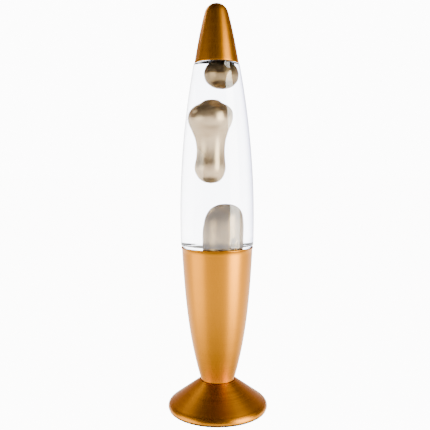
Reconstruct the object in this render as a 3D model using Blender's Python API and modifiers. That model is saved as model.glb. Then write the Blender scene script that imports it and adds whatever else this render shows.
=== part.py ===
# A lava lamp: spun metal foot and cup, a glass bottle of liquid and wax, and a pointed cap.
# Sizes are in millimetres, and MM turns them into Blender's metres. +Z is up, and the lamp
# stands on z = 0 with its axis on the world's Z axis. The cord would leave towards +Y.
from math import cos, pi, radians, sin, tau

import bmesh
import bpy
from mathutils import Matrix, Vector

MM = 0.001
GAP = 0.3  # clearance between pieces that touch on the real lamp

# Overall
CAP_APEX_Z = 406.4
FINE, MEDIUM, COARSE, SMALL = 36, 24, 16, 8  # steps round a turned piece
CUTTER_TWIST = 7.0  # degrees, keeps a cutter's corners off the edges of what it cuts

# Foot: a cone with a dished top that takes the cup, and a rolled rim
FOOT_RADIUS = 50.8
FOOT_TOP_RADIUS = 18.4
FOOT_TOP_Z = 29.3
FOOT_SLOPE = 0.743
FOOT_WALL_DROP = 1.25  # the wall's thickness, measured straight down
FOOT_RIM_Z = 1.2
FOOT_MID_RADIUS = 33.0
FOOT_TURN_RADIUS = 48.2  # where the cone starts to turn down into the rim
FOOT_INNER_RADIUS = 46.0  # the same place on the underside
DISH_Z = 28.2
DISH_FLOOR_THICKNESS = 1.2

# Cup: a flaring tube with a rolled rim
CUP_FLARE = ((17.08, 30.0), (30.13, 75.0), (33.29, 120.0), (35.66, 165.0))
CUP_WALL = 0.8
CUP_BOTTOM_Z = 28.5
CUP_CORNER = 2.5
BEAD_RADIUS = 0.8
BEAD_CENTRE = (35.5, 165.5)

# Bottle: a barrel whose lower part drops into the cup
BARREL_RADIUS = 36.9
BARREL_Z = 195.0
BARREL_CURVE = 826.0
SHOULDER_TOP_Z = 168.8
SHOULDER_Z = 165.0
PLUG_Z = 118.0
PLUG_CLEARANCE = 0.85
BOTTLE_BOTTOM_Z = 113.0
BOTTLE_CORNER = 5.0
PUSH_UP_Z = 115.0
GLASS_WALL = 2.6
GLASS_FLOOR = 3.2
LEDGE_Z = 347.5
LEDGE_RADIUS = 22.2
NECK_BASE_RADIUS = 20.6
NECK_RADIUS = 13.1
NECK_BORE = 9.8
NECK_Z = 361.5
LIP_Z = 370.7

# Contents of the bottle
POOL_TOP_Z = 134.0
FILL_Z = 358.0
COIL_RING_RADIUS = 23.0
COIL_RADIUS = 3.0
COIL_WIRE = 0.4
COIL_TURNS = 10
COIL_STEPS = 70
COIL_Z = 120.6
CHANNEL_X = 2.5
CHANNEL_RADIUS = 0.8
CHANNEL_SPAN = (200.0, 336.0)
COIL_GROOVE = 2.4  # room round the coil in the wax
CAGE_GROWTH = 1.11  # smoothing draws a cage's rings in by this much
ROOM_GROWTH = 1.1  # how much larger the hollows in the liquid are than the wax

# Soft wax shapes as rings from the top down: height, radius, centre across
COLUMN_RINGS = (
    (209.6, 3.0, 6.2),
    (206.5, 9.6, 6.0),
    (201.5, 13.2, 5.7),
    (191.5, 15.4, 5.1),
    (172.0, 15.6, 4.4),
    (150.0, 16.4, 3.6),
    (139.0, 20.5, 2.0),
    (133.5, 25.0, 0.6),
    (130.0, 25.0, 0.6),
)
MIDDLE_RINGS = (
    (310.8, 3.0, -3.8),
    (307.4, 8.2, -3.9),
    (303.2, 14.6, -4.5),
    (293.6, 17.5, -4.7),
    (283.6, 14.4, -4.8),
    (270.4, 10.9, -4.6),
    (259.0, 10.2, -4.7),
    (246.0, 12.0, -5.1),
    (236.4, 10.6, -4.9),
    (230.0, 4.0, -4.6),
)
TOP_RINGS = (
    (350.6, 3.5, 3.6),
    (346.4, 10.3, 3.6),
    (338.0, 13.3, 3.5),
    (329.4, 10.8, 3.6),
    (324.6, 3.5, 3.7),
)

# Crown cap on the bottle's neck
CROWN_TOP_Z = 372.0
CROWN_SKIRT_Z = 366.0
CROWN_SKIRT_RADIUS = 16.0
CROWN_SHEET = 0.3
LINER_THICKNESS = 0.6

# Cap: a cone with a slight curve, closed by a round tip
CAP_RIM_Z = 347.8
CAP_SIDE = ((22.1, 348.0), (19.2, 364.47), (16.3, 380.93), (11.68, 397.4))
CAP_WALL = 0.8
TIP_RADIUS = 12.1
TIP_START = 15.0  # degrees above level where the round tip takes over

# Bulb: a 39 mm reflector bulb with a 14 mm screw cap
BULB_TOP_Z = 110.5
BULB_RADIUS = 19.5
BULB_WIDEST_Z = 99.5
BULB_NECK_RADIUS = 6.2
BULB_NECK_Z = 64.5
BULB_WALL = 0.6
BULB_CAP_RADIUS = 6.95
BULB_TIP_Z = 44.6
STEM_TOP_Z = 78.0
FILAMENT_Z = 86.0
FILAMENT_HALF = 6.0

# Lampholder
HOLDER_RADIUS = 13.4
HOLDER_BOTTOM_Z = 29.6
HOLDER_JOINT_Z = 44.2
HOLDER_TOP_Z = 64.0
CORE_RADIUS = 10.9
CORE_BOTTOM_Z = 41.5
CORE_TOP_Z = 47.5
RECESS_Z = 43.0

# Nipple, nut, washer, bracket
NIPPLE_RADIUS = 5.0
NIPPLE_BORE = 3.6
NIPPLE_HOLE = 5.35
NIPPLE_SPAN = (17.5, 36.5)
NUT_ACROSS_FLATS = 14.0
NUT_SPAN = (20.2, 23.5)
WASHER_RADIUS = 10.0
WASHER_SPAN = (23.8, 25.2)
BRACKET_TOP_Z = 26.7
BRACKET_SHEET = 1.2
BRACKET_HUB = 9.5
ARM_HALF_WIDTH = 4.5
ARM_ANGLES = (-90.0, 30.0, 150.0)
ARM_BEND = 11.0
PAD_BEND = 31.0
PAD_END = 39.5
PAD_Z = 4.2

# Bottom plate, its screws, and the rubber pad
PLATE_RADIUS = 48.3
PLATE_RIM_Z = 1.2
PLATE_FLOOR_Z = 2.4
PLATE_THICKNESS = 1.4
PLATE_STEP_RADIUS = 41.0
SCREW_CIRCLE = 35.5
SCREW_HOLE = 1.7
VENT_CIRCLE = 20.0
VENT_RADIUS = 2.2
VENT_COUNT = 8
PAD_RING = (43.0, 50.1)
PAD_RING_THICKNESS = 0.9

# Wiring
BLOCK_SIZE = (17.0, 14.0, 10.0)
BLOCK_Y = 25.0
BLOCK_Z = 4.1
POLE_X = 4.2
POLE_Z = 8.5
POLE_BORE = 1.7
POLE_SCREW = 1.6
POLE_SCREW_OFFSET = 3.5
LEAD_RADIUS = 0.8
LEAD_SIDE = 1.3
LEAD_BROWN = (0.16, 0.06, 0.02)
LEAD_BLUE = (0.03, 0.10, 0.45)
BUSH_Z = 9.3
BUSH_RADIUS = 4.6
BUSH_FLANGE = 5.2
BUSH_BORE = 3.1
BUSH_SPAN = (34.6, 48.6)
CORD_HOLE_SPAN = (36.5, 56.0)


# ---------------------------------------------------------------- scene and helpers


def clear_scene():
    for item in list(bpy.data.objects):
        bpy.data.objects.remove(item, do_unlink=True)
    for group in list(bpy.data.collections):
        bpy.data.collections.remove(group)


def new_collection(name):
    group = bpy.data.collections.new(name)
    bpy.context.scene.collection.children.link(group)
    return group


clear_scene()
PARTS = new_collection("lava_lamp")
CUTTERS = new_collection("cutters")


def principled(name, colour, roughness, metallic=0.0, transmission=0.0):
    material = bpy.data.materials.new(name)
    material.use_nodes = True
    shader = material.node_tree.nodes["Principled BSDF"]
    shader.inputs["Base Color"].default_value = (*colour, 1.0)
    shader.inputs["Roughness"].default_value = roughness
    shader.inputs["Metallic"].default_value = metallic
    shader.inputs["Transmission Weight"].default_value = transmission
    return material


def gold_metal(name):
    return principled(name, (0.62, 0.30, 0.09), 0.32, metallic=1.0)


def bright_metal(name):
    return principled(name, (0.60, 0.60, 0.58), 0.35, metallic=1.0)


def brass(name):
    return principled(name, (0.60, 0.42, 0.16), 0.35, metallic=1.0)


def black_plastic(name):
    return principled(name, (0.015, 0.015, 0.015), 0.55)


def white_plastic(name):
    return principled(name, (0.75, 0.74, 0.70), 0.45)


def clear_glass(name):
    return principled(name, (0.92, 0.95, 1.0), 0.02, transmission=1.0)


def gold_wax(name):
    return principled(name, (0.50, 0.38, 0.24), 0.35, metallic=0.6)


def add_object(name, data, material, group=PARTS):
    item = bpy.data.objects.new(name, data)
    group.objects.link(item)
    if material:
        data.materials.append(material)
    if group is CUTTERS:
        item.hide_render = True
        item.display_type = "WIRE"
    return item


def mesh_from(bm, name):
    mesh = bpy.data.meshes.new(name)
    bm.to_mesh(mesh)
    bm.free()
    return mesh


def arc(centre, radius, start, end, steps):
    """Points on an arc, from start to end in degrees, counted from the outward direction."""
    angles = [radians(start + (end - start) * i / steps) for i in range(steps + 1)]
    return [(centre[0] + radius * cos(a), centre[1] + radius * sin(a)) for a in angles]


def bezier(points, steps):
    """Points along a cubic Bezier curve with these four control points."""
    a, b, c, d = (Vector(p) for p in points)
    row = [i / steps for i in range(steps + 1)]
    return [
        tuple(a * (1 - t) ** 3 + b * 3 * t * (1 - t) ** 2 + c * 3 * t * t * (1 - t) + d * t**3)
        for t in row
    ]


def spread(start, end, steps):
    return [start + (end - start) * i / steps for i in range(steps + 1)]


def turned(name, outline, material, steps=MEDIUM, group=PARTS):
    """Turns a closed outline of (radius, height) points about Z. The outline runs down the
    outer side and back up the inner one, and an edge along the axis is left out."""
    bm = bmesh.new()
    corners = [bm.verts.new((r * MM, 0, z * MM)) for r, z in outline]
    for i, corner in enumerate(corners):
        if outline[i - 1][0] > 0 or outline[i][0] > 0:
            bm.edges.new((corners[i - 1], corner))
    item = add_object(name, mesh_from(bm, name), material, group)
    screw = item.modifiers.new("turn", "SCREW")
    screw.axis = "Z"
    screw.angle = tau
    screw.steps = steps
    screw.render_steps = steps
    screw.use_merge_vertices = True
    screw.merge_threshold = 0.000001
    screw.use_smooth_shade = True
    return item


def soft_body(name, rings, material, group=PARTS, grow=0.0):
    """A soft closed shape through level rings, from the top down. It is smoothed once, or as
    a cutter left as its cage, which holds the smooth shape, and grown a little."""
    bm = bmesh.new()
    loops = []
    for height, radius, across in rings:
        place = Matrix.Translation((across * MM, 0, height * MM))
        cage_radius = radius * CAGE_GROWTH * MM
        made = bmesh.ops.create_circle(bm, segments=SMALL, radius=cage_radius, matrix=place)
        loops.append(made["verts"])
    for upper, lower in zip(loops, loops[1:]):
        edges = {e for v in upper + lower for e in v.link_edges if len(e.link_faces) < 2}
        ring = [e for e in edges if {*e.verts} <= {*upper} or {*e.verts} <= {*lower}]
        bmesh.ops.bridge_loops(bm, edges=ring)
    for loop in (loops[0], loops[-1]):
        cap = bmesh.ops.contextual_create(bm, geom=[e for e in bm.edges if {*e.verts} <= {*loop}])
        bmesh.ops.poke(bm, faces=cap["faces"])
    bmesh.ops.recalc_face_normals(bm, faces=bm.faces)
    for face in bm.faces:
        face.smooth = True
    item = add_object(name, mesh_from(bm, name), material, group)
    if grow:
        swell = item.modifiers.new("swell", "DISPLACE")
        swell.strength = grow * MM
        swell.mid_level = 0
        return item
    smooth = item.modifiers.new("smooth", "SUBSURF")
    smooth.levels = 1
    smooth.render_levels = 1
    return item


def rod(name, radius, low, high, place=(0, 0), material=None, group=CUTTERS, sides=SMALL):
    """An upright cylinder between two heights, or a prism of few sides."""
    bm = bmesh.new()
    spot = Matrix.Translation((place[0] * MM, place[1] * MM, (low + high) / 2 * MM))
    twist = Matrix.Rotation(radians(CUTTER_TWIST), 4, "Z")
    bmesh.ops.create_cone(
        bm, cap_ends=True, segments=sides, radius1=radius * MM, radius2=radius * MM,
        depth=(high - low) * MM, matrix=spot @ twist,
    )
    return add_object(name, mesh_from(bm, name), material, group)


def wire(name, points, radius, material, closed=False):
    """A round wire along points in millimetres."""
    data = bpy.data.curves.new(name, "CURVE")
    data.dimensions = "3D"
    data.bevel_depth = radius * MM
    data.bevel_resolution = 2
    data.use_fill_caps = True
    line = data.splines.new("POLY")
    line.points.add(len(points) - 1)
    for spot, point in zip(line.points, points):
        spot.co = (*(c * MM for c in point), 1)
    line.use_cyclic_u = closed
    return add_object(name, data, material)


def combine(item, tool, operation="DIFFERENCE"):
    step = item.modifiers.new(operation.lower(), "BOOLEAN")
    step.operation = operation
    step.solver = "EXACT"
    step.object = tool


def on_circle(radius, degrees):
    return radius * cos(radians(degrees)), radius * sin(radians(degrees))


# ---------------------------------------------------------------- outlines that pieces share


def cup_radius(z):
    t = (z - CUP_FLARE[0][1]) / (CUP_FLARE[-1][1] - CUP_FLARE[0][1])
    a, b, c, d = (r for r, _ in CUP_FLARE)
    return a * (1 - t) ** 3 + b * 3 * t * (1 - t) ** 2 + c * 3 * t * t * (1 - t) + d * t**3


def barrel_radius(z):
    return BARREL_RADIUS - BARREL_CURVE + (BARREL_CURVE**2 - (z - BARREL_Z) ** 2) ** 0.5


def plug_radius(z):
    """The outside of the glass where it drops into the cup."""
    return cup_radius(z) - CUP_WALL - PLUG_CLEARANCE


def bottle_radius(z):
    """The outside of the glass, from the bottom corner up to the ledge."""
    if z >= SHOULDER_TOP_Z:
        return barrel_radius(z)
    if z >= SHOULDER_Z:
        rise = (z - SHOULDER_Z) / (SHOULDER_TOP_Z - SHOULDER_Z)
        swell = barrel_radius(SHOULDER_TOP_Z) - plug_radius(SHOULDER_Z)
        return plug_radius(SHOULDER_Z) + swell * (1 - cos(pi * rise)) / 2
    return plug_radius(z)


def bottle_heights(low, high, barrel_steps):
    """Heights for points along the glass between two levels, closer at the shoulder."""
    plug = spread(PLUG_Z, SHOULDER_Z, 2)
    shoulder = spread(SHOULDER_Z, SHOULDER_TOP_Z, 4)[1:]
    barrel = spread(SHOULDER_TOP_Z, LEDGE_Z - 0.6, barrel_steps)[1:]
    inside = [z for z in plug + shoulder + barrel if low + 1 < z < high - 1]
    return [low, *inside, high]


def neck_curve(wide, narrow, low, high, steps):
    """An S-shaped shoulder from a wide radius at the low end to a narrow one above."""
    rows = [i / steps for i in range(steps + 1)]
    return [(narrow + (wide - narrow) * (1 + cos(pi * t)) / 2, low + (high - low) * t) for t in rows]


def inner_floor(corner_gap):
    """The inside of the bottle's bottom, from its corner to the middle."""
    top = PLUG_Z + 1.5
    centre_radius = bottle_radius(top) - GLASS_WALL - BOTTLE_CORNER
    centre = (centre_radius, BOTTLE_BOTTOM_Z + GLASS_FLOOR + BOTTLE_CORNER)
    corner = arc(centre, BOTTLE_CORNER - corner_gap, -15, -90, 3)
    middle = (0, PUSH_UP_Z + GLASS_FLOOR + corner_gap)
    return [*corner, (17.0, corner[-1][1]), middle]


# ---------------------------------------------------------------- bottle and contents


def glass_bottle():
    finish = [
        (NECK_BORE, LIP_Z - 0.8),
        (NECK_BORE + 0.8, LIP_Z),
        (NECK_RADIUS - 0.7, LIP_Z),
        (NECK_RADIUS + 0.2, LIP_Z - 0.9),
        (NECK_RADIUS + 0.2, LIP_Z - 3.0),
        (NECK_RADIUS - 0.5, LIP_Z - 4.2),
        (NECK_RADIUS + 0.4, LIP_Z - 7.4),
    ]
    shoulder = neck_curve(NECK_BASE_RADIUS, NECK_RADIUS, LEDGE_Z + 0.3, NECK_Z, 5)[::-1]
    ledge = [(LEDGE_RADIUS, LEDGE_Z)]
    side = [(bottle_radius(z), z) for z in bottle_heights(PLUG_Z, LEDGE_Z - 0.6, 7)][::-1]
    corner_centre = (bottle_radius(PLUG_Z) - BOTTLE_CORNER, PLUG_Z)
    corner = arc(corner_centre, BOTTLE_CORNER, 0, -90, 4)[1:]
    bottom = [(20.0, BOTTLE_BOTTOM_Z), (0, PUSH_UP_Z)]
    floor = inner_floor(0)[::-1]
    inner_heights = bottle_heights(PLUG_Z + 5, LEDGE_Z - 2.5, 5)
    wall = [(bottle_radius(z) - GLASS_WALL, z) for z in inner_heights]
    throat = neck_curve(wall[-1][0], NECK_BORE, LEDGE_Z - 2.5, NECK_Z - 1, 5)[1:]
    outline = finish + shoulder + ledge + side + corner + bottom + floor + wall + throat
    return turned("glass_bottle", outline, clear_glass("bottle_glass"))


def wax_pool(column):
    side = [(bottle_radius(z) - GLASS_WALL - GAP, z) for z in spread(PLUG_Z + 5, POOL_TOP_Z, 2)]
    outline = [(0, POOL_TOP_Z), *side[::-1], *inner_floor(GAP)]
    pool = turned("wax_pool", outline, gold_wax("pool_wax"))
    combine(pool, column, "UNION")
    bpy.ops.mesh.primitive_torus_add(
        major_segments=MEDIUM, minor_segments=8, location=(0, 0, COIL_Z * MM),
        major_radius=COIL_RING_RADIUS * MM, minor_radius=(COIL_RADIUS + COIL_GROOVE) * MM,
    )
    groove = bpy.context.object
    groove.name = "coil_groove"
    for group in list(groove.users_collection):
        group.objects.unlink(groove)
    CUTTERS.objects.link(groove)
    groove.hide_render = True
    groove.display_type = "WIRE"
    combine(pool, groove)
    return pool


def heat_coil():
    points = []
    for i in range(COIL_STEPS):
        around = tau * i / COIL_STEPS
        turn = around * COIL_TURNS
        radius = COIL_RING_RADIUS + COIL_RADIUS * cos(turn)
        points.append((radius * cos(around), radius * sin(around), COIL_Z + COIL_RADIUS * sin(turn)))
    return wire("heat_coil", points, COIL_WIRE, bright_metal("coil_wire_steel"), closed=True)


def clear_liquid():
    heights = bottle_heights(POOL_TOP_Z + GAP, LEDGE_Z - 2.5, 5)
    side = [(bottle_radius(z) - GLASS_WALL - GAP, z) for z in heights]
    throat = neck_curve(side[-1][0], NECK_BORE - GAP, LEDGE_Z - 2.5, NECK_Z - 1, 5)
    top = [p for p in throat[1:] if p[1] < FILL_Z]
    outline = [(0, FILL_Z), (top[-1][0] - 0.8, FILL_Z), *top[::-1], *side[::-1], (0, side[0][1])]
    liquid = turned("clear_liquid", outline, clear_glass("lamp_liquid"))
    for name, rings in (("column", COLUMN_RINGS), ("middle", MIDDLE_RINGS), ("top", TOP_RINGS)):
        combine(liquid, soft_body(name + "_room", rings, None, CUTTERS, grow=ROOM_GROWTH))
    channel = rod("channel", CHANNEL_RADIUS, *CHANNEL_SPAN, (CHANNEL_X, 0))
    combine(liquid, channel)
    return liquid


def crown_cap():
    skirt_top = CROWN_TOP_Z - 1.6
    outline = [
        (0, CROWN_TOP_Z + CROWN_SHEET),
        (13.2, CROWN_TOP_Z + CROWN_SHEET),
        (14.2, CROWN_TOP_Z - 0.4),
        (14.5, skirt_top),
        (CROWN_SKIRT_RADIUS, CROWN_SKIRT_Z),
        (CROWN_SKIRT_RADIUS - CROWN_SHEET, CROWN_SKIRT_Z),
        (14.5 - CROWN_SHEET, skirt_top),
        (14.2 - CROWN_SHEET, CROWN_TOP_Z - 0.5),
        (13.1, CROWN_TOP_Z),
        (0, CROWN_TOP_Z),
    ]
    return turned("crown_cap", outline, bright_metal("crown_tinplate"))


def crown_liner():
    top = CROWN_TOP_Z - 0.25
    low = top - LINER_THICKNESS
    outline = [(0, top), (12.9, top), (12.9, low), (0, low)]
    return turned("crown_liner", outline, white_plastic("liner_plastic"), COARSE)


def cap_shell():
    centre_z = CAP_APEX_Z - TIP_RADIUS
    tip = arc((0, centre_z), TIP_RADIUS, 90, TIP_START, 5)
    side = bezier(CAP_SIDE, 6)[::-1][1:]
    rim = [(CAP_SIDE[0][0] - 0.2, CAP_RIM_Z), (CAP_SIDE[0][0] - CAP_WALL, CAP_RIM_Z)]
    inner_side = [(r - CAP_WALL, z) for r, z in bezier(CAP_SIDE, 4)][1:]
    inner_tip = arc((0, centre_z), TIP_RADIUS - CAP_WALL, TIP_START, 90, 4)[1:]
    outline = [(0, CAP_APEX_Z), *tip[1:], *side, *rim, *inner_side, *inner_tip[:-1]]
    outline.append((0, CAP_APEX_Z - CAP_WALL))
    return turned("cap_shell", outline, gold_metal("cap_aluminium"), FINE)


# ---------------------------------------------------------------- cup and foot


def base_cup():
    bead = arc(BEAD_CENTRE, BEAD_RADIUS, 195, -50, 4)
    wall_top = BEAD_CENTRE[1] - 1.1
    side = [(cup_radius(z), z) for z in spread(wall_top, CUP_BOTTOM_Z + CUP_CORNER, 7)]
    corner_centre = (side[-1][0] - CUP_CORNER, side[-1][1])
    corner = arc(corner_centre, CUP_CORNER, 0, -90, 3)[1:]
    floor = [(NIPPLE_HOLE, CUP_BOTTOM_Z), (NIPPLE_HOLE, CUP_BOTTOM_Z + CUP_WALL)]
    inner_corner = arc(corner_centre, CUP_CORNER - CUP_WALL, -90, 0, 2)
    inner = [(cup_radius(z) - CUP_WALL, z) for z in spread(side[-1][1], wall_top, 5)][1:]
    outline = bead + side + corner + floor + inner_corner + inner
    return turned("base_cup", outline, gold_metal("cup_aluminium"), FINE)


def foot_height(radius):
    """Height of the foot's outer cone at a radius."""
    return FOOT_TOP_Z - (radius - FOOT_TOP_RADIUS) * FOOT_SLOPE


def base_foot():
    lip = [(17.5, DISH_Z), (17.7, FOOT_TOP_Z), (18.1, FOOT_TOP_Z + 0.3)]
    cone = [(r, foot_height(r)) for r in (FOOT_TOP_RADIUS, FOOT_MID_RADIUS)]
    turn_in = (FOOT_TURN_RADIUS, foot_height(FOOT_TURN_RADIUS))
    curve = bezier((turn_in, (49.9, foot_height(49.9)), (FOOT_RADIUS, 4.4), (FOOT_RADIUS, 2.6)), 4)
    rim = [(50.4, FOOT_RIM_Z), (49.2, FOOT_RIM_Z), (48.8, 2.6)]
    under_side = (FOOT_INNER_RADIUS, foot_height(FOOT_INNER_RADIUS) - FOOT_WALL_DROP)
    inner_turn = bezier(((48.8, 3.4), (48.6, 4.6), (47.9, 6.1), under_side), 3)
    under_z = DISH_Z - DISH_FLOOR_THICKNESS
    under_radius = FOOT_TOP_RADIUS + (FOOT_TOP_Z - FOOT_WALL_DROP - under_z) / FOOT_SLOPE
    outline = [(NIPPLE_HOLE, DISH_Z), *lip, *cone, *curve, *rim, *inner_turn]
    outline += [(under_radius, under_z), (NIPPLE_HOLE, under_z)]
    foot = turned("base_foot", outline, gold_metal("foot_aluminium"), FINE)
    cord_hole = rod("cord_hole", BUSH_RADIUS + GAP, *CORD_HOLE_SPAN, sides=COARSE)
    lay_towards_back(cord_hole)
    combine(foot, cord_hole)
    return foot


def lay_towards_back(item):
    """Lays an upright piece down along +Y at the height of the cord's hole."""
    item.rotation_euler = (-pi / 2, 0, 0)
    item.location = (0, 0, BUSH_Z * MM)


def cord_bush():
    inner_end, outer_end = BUSH_SPAN
    outline = [
        (BUSH_BORE, outer_end),
        (BUSH_RADIUS - 0.5, outer_end),
        (BUSH_RADIUS, outer_end - 0.6),
        (BUSH_RADIUS, inner_end + 1.6),
        (BUSH_FLANGE, inner_end + 1.6),
        (BUSH_FLANGE, inner_end),
        (BUSH_BORE, inner_end),
    ]
    bush = turned("cord_bush", outline, black_plastic("bush_nylon"), COARSE)
    lay_towards_back(bush)
    return bush


def base_plate():
    rim_top = PLATE_RIM_Z + PLATE_THICKNESS
    floor_top = PLATE_FLOOR_Z + PLATE_THICKNESS
    outline = [
        (0, floor_top),
        (PLATE_STEP_RADIUS, floor_top),
        (PLATE_STEP_RADIUS + 1.2, rim_top),
        (PLATE_RADIUS, rim_top),
        (PLATE_RADIUS, PLATE_RIM_Z),
        (PLATE_STEP_RADIUS + 0.6, PLATE_RIM_Z),
        (PLATE_STEP_RADIUS - 0.6, PLATE_FLOOR_Z),
        (0, PLATE_FLOOR_Z),
    ]
    plate = turned("base_plate", outline, black_plastic("plate_abs"), FINE)
    for angle in ARM_ANGLES:
        spot = on_circle(SCREW_CIRCLE, angle)
        combine(plate, rod("plate_hole", SCREW_HOLE, 0.0, 6.0, spot))
    for i in range(VENT_COUNT):
        spot = on_circle(VENT_CIRCLE, 360 * (i + 0.5) / VENT_COUNT)
        combine(plate, rod("vent", VENT_RADIUS, 0.0, 6.0, spot))
    return plate


def plate_screw(number, angle):
    top = PAD_Z + BRACKET_SHEET + 1.4
    seat = PLATE_FLOOR_Z - GAP
    outline = [(0, top), (1.35, top), (1.35, seat), (2.8, seat), (2.5, seat - 1.1), (0, seat - 1.2)]
    screw = turned("plate_screw_%d" % number, outline, bright_metal("plate_screw_steel"), SMALL)
    x, y = on_circle(SCREW_CIRCLE, angle)
    screw.location = (x * MM, y * MM, 0)
    return screw


def foot_pad():
    inner, outer = PAD_RING
    outline = [(inner, PAD_RING_THICKNESS), (outer, PAD_RING_THICKNESS), (outer, 0), (inner, 0)]
    return turned("foot_pad", outline, black_plastic("pad_rubber"), FINE)


# ---------------------------------------------------------------- fixings inside the foot


def threaded_nipple():
    low, high = NIPPLE_SPAN
    outline = [(NIPPLE_BORE, high), (NIPPLE_RADIUS, high), (NIPPLE_RADIUS, low), (NIPPLE_BORE, low)]
    return turned("threaded_nipple", outline, bright_metal("nipple_steel"), COARSE)


def lock_washer():
    low, high = WASHER_SPAN
    outline = [(NIPPLE_HOLE, high), (WASHER_RADIUS, high), (WASHER_RADIUS, low), (NIPPLE_HOLE, low)]
    return turned("lock_washer", outline, bright_metal("washer_steel"), COARSE)


def lock_nut():
    corner_radius = NUT_ACROSS_FLATS / 2 / cos(pi / 6)
    low, high = NUT_SPAN
    nut = rod("lock_nut", corner_radius, low, high, material=brass("nut_brass"), group=PARTS, sides=6)
    combine(nut, rod("nut_hole", NIPPLE_HOLE, low - 1, high + 1, sides=COARSE))
    return nut


def bracket_arm(angle):
    """One bent strip: level at the hub, sloping down, and level again at its pad."""
    low = BRACKET_TOP_Z - BRACKET_SHEET
    upper = [(NIPPLE_HOLE + 1, BRACKET_TOP_Z), (ARM_BEND + 0.3, BRACKET_TOP_Z)]
    upper += [(PAD_BEND + 0.3, PAD_Z + BRACKET_SHEET), (PAD_END, PAD_Z + BRACKET_SHEET)]
    lower = [(PAD_END, PAD_Z), (PAD_BEND - 0.3, PAD_Z)]
    lower += [(ARM_BEND - 0.3, low), (NIPPLE_HOLE + 1, low)]
    bm = bmesh.new()
    edge = [bm.verts.new((r * MM, -ARM_HALF_WIDTH * MM, z * MM)) for r, z in upper + lower]
    side = bm.faces.new(edge)
    grown = bmesh.ops.extrude_face_region(bm, geom=[side])
    moved = [v for v in grown["geom"] if isinstance(v, bmesh.types.BMVert)]
    bmesh.ops.translate(bm, verts=moved, vec=(0, 2 * ARM_HALF_WIDTH * MM, 0))
    bmesh.ops.rotate(bm, verts=bm.verts, cent=(0, 0, 0), matrix=Matrix.Rotation(radians(angle), 3, "Z"))
    bmesh.ops.recalc_face_normals(bm, faces=bm.faces)
    return add_object("bracket_arm", mesh_from(bm, "bracket_arm"), None, CUTTERS)


def spider_bracket():
    low = BRACKET_TOP_Z - BRACKET_SHEET
    outline = [
        (NIPPLE_HOLE, BRACKET_TOP_Z),
        (BRACKET_HUB, BRACKET_TOP_Z),
        (BRACKET_HUB, low),
        (NIPPLE_HOLE, low),
    ]
    bracket = turned("spider_bracket", outline, bright_metal("bracket_steel"), COARSE)
    for angle in ARM_ANGLES:
        combine(bracket, bracket_arm(angle), "UNION")
    for angle in ARM_ANGLES:
        spot = on_circle(SCREW_CIRCLE, angle)
        combine(bracket, rod("arm_hole", SCREW_HOLE, PAD_Z - 1, PAD_Z + 3, spot, sides=10))
    return bracket


# ---------------------------------------------------------------- wiring


def terminal_block():
    bm = bmesh.new()
    centre = Vector((0, BLOCK_Y, BLOCK_Z + BLOCK_SIZE[2] / 2)) * MM
    size = Matrix.Diagonal((*(s * MM for s in BLOCK_SIZE), 1))
    bmesh.ops.create_cube(bm, size=1.0, matrix=Matrix.Translation(centre) @ size)
    block = add_object("terminal_block", mesh_from(bm, "terminal_block"), white_plastic("block_nylon"))
    half = BLOCK_SIZE[1] / 2
    for x in (-POLE_X, POLE_X):
        bore = rod("pole_bore", POLE_BORE, -half - 1, half + 1)
        bore.rotation_euler = (-pi / 2, 0, 0)
        bore.location = (x * MM, BLOCK_Y * MM, POLE_Z * MM)
        combine(block, bore)
        for y in (BLOCK_Y - POLE_SCREW_OFFSET, BLOCK_Y + POLE_SCREW_OFFSET):
            combine(block, rod("screw_hole", POLE_SCREW + 0.25, POLE_Z, 20.0, (x, y), sides=10))
    return block


def block_screws():
    rows = (BLOCK_Y - POLE_SCREW_OFFSET, BLOCK_Y + POLE_SCREW_OFFSET)
    places = [(x, y) for x in (-POLE_X, POLE_X) for y in rows]
    steel = bright_metal("block_screw_steel")
    low = POLE_Z + LEAD_RADIUS + GAP
    names = ["block_screw_%d" % (i + 1) for i in range(len(places))]
    return [
        rod(name, POLE_SCREW, low, low + 3.6, place, steel, PARTS, 10)
        for name, place in zip(names, places)
    ]


def inner_lead(name, side, colour):
    """An insulated lead from the terminal block, up through the nipple, to the lampholder."""
    low, high = NIPPLE_SPAN
    start = (side * POLE_X, BLOCK_Y - BLOCK_SIZE[1] / 2 + 1.5, POLE_Z)
    across = side * LEAD_SIDE
    foot_bend = bezier((start, (start[0], 8.0, POLE_Z), (across, 0, 8.0), (across, 0, low)), 7)
    core_end = (side * 6.0, 0, CORE_BOTTOM_Z - GAP)
    upper_start = (across, 0, high - 2)
    upper_bend = ((across, 0, high + 2.5), (core_end[0], 0, high + 1.2))
    top_bend = bezier((upper_start, *upper_bend, core_end), 6)
    middle = [(across, 0, (low + high) / 2)]
    sleeve = principled(name + "_sleeve", colour, 0.5)
    return wire(name, foot_bend + middle + top_bend, LEAD_RADIUS, sleeve)


# ---------------------------------------------------------------- lampholder


def holder_base():
    outline = [
        (11.3, HOLDER_JOINT_Z - GAP),
        (HOLDER_RADIUS, HOLDER_JOINT_Z - GAP),
        (HOLDER_RADIUS, 35.0),
        (11.6, HOLDER_BOTTOM_Z),
        (NIPPLE_HOLE, HOLDER_BOTTOM_Z),
        (NIPPLE_HOLE, NIPPLE_SPAN[1] + 0.6),
        (11.3, NIPPLE_SPAN[1] + 0.6),
    ]
    return turned("holder_base", outline, white_plastic("holder_base_plastic"))


def holder_core():
    outline = [
        (6.6, CORE_TOP_Z), (CORE_RADIUS, CORE_TOP_Z), (CORE_RADIUS, CORE_BOTTOM_Z),
        (0, CORE_BOTTOM_Z), (0, RECESS_Z), (6.6, RECESS_Z),
    ]
    return turned("holder_core", outline, white_plastic("holder_core_ceramic"), COARSE)


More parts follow.
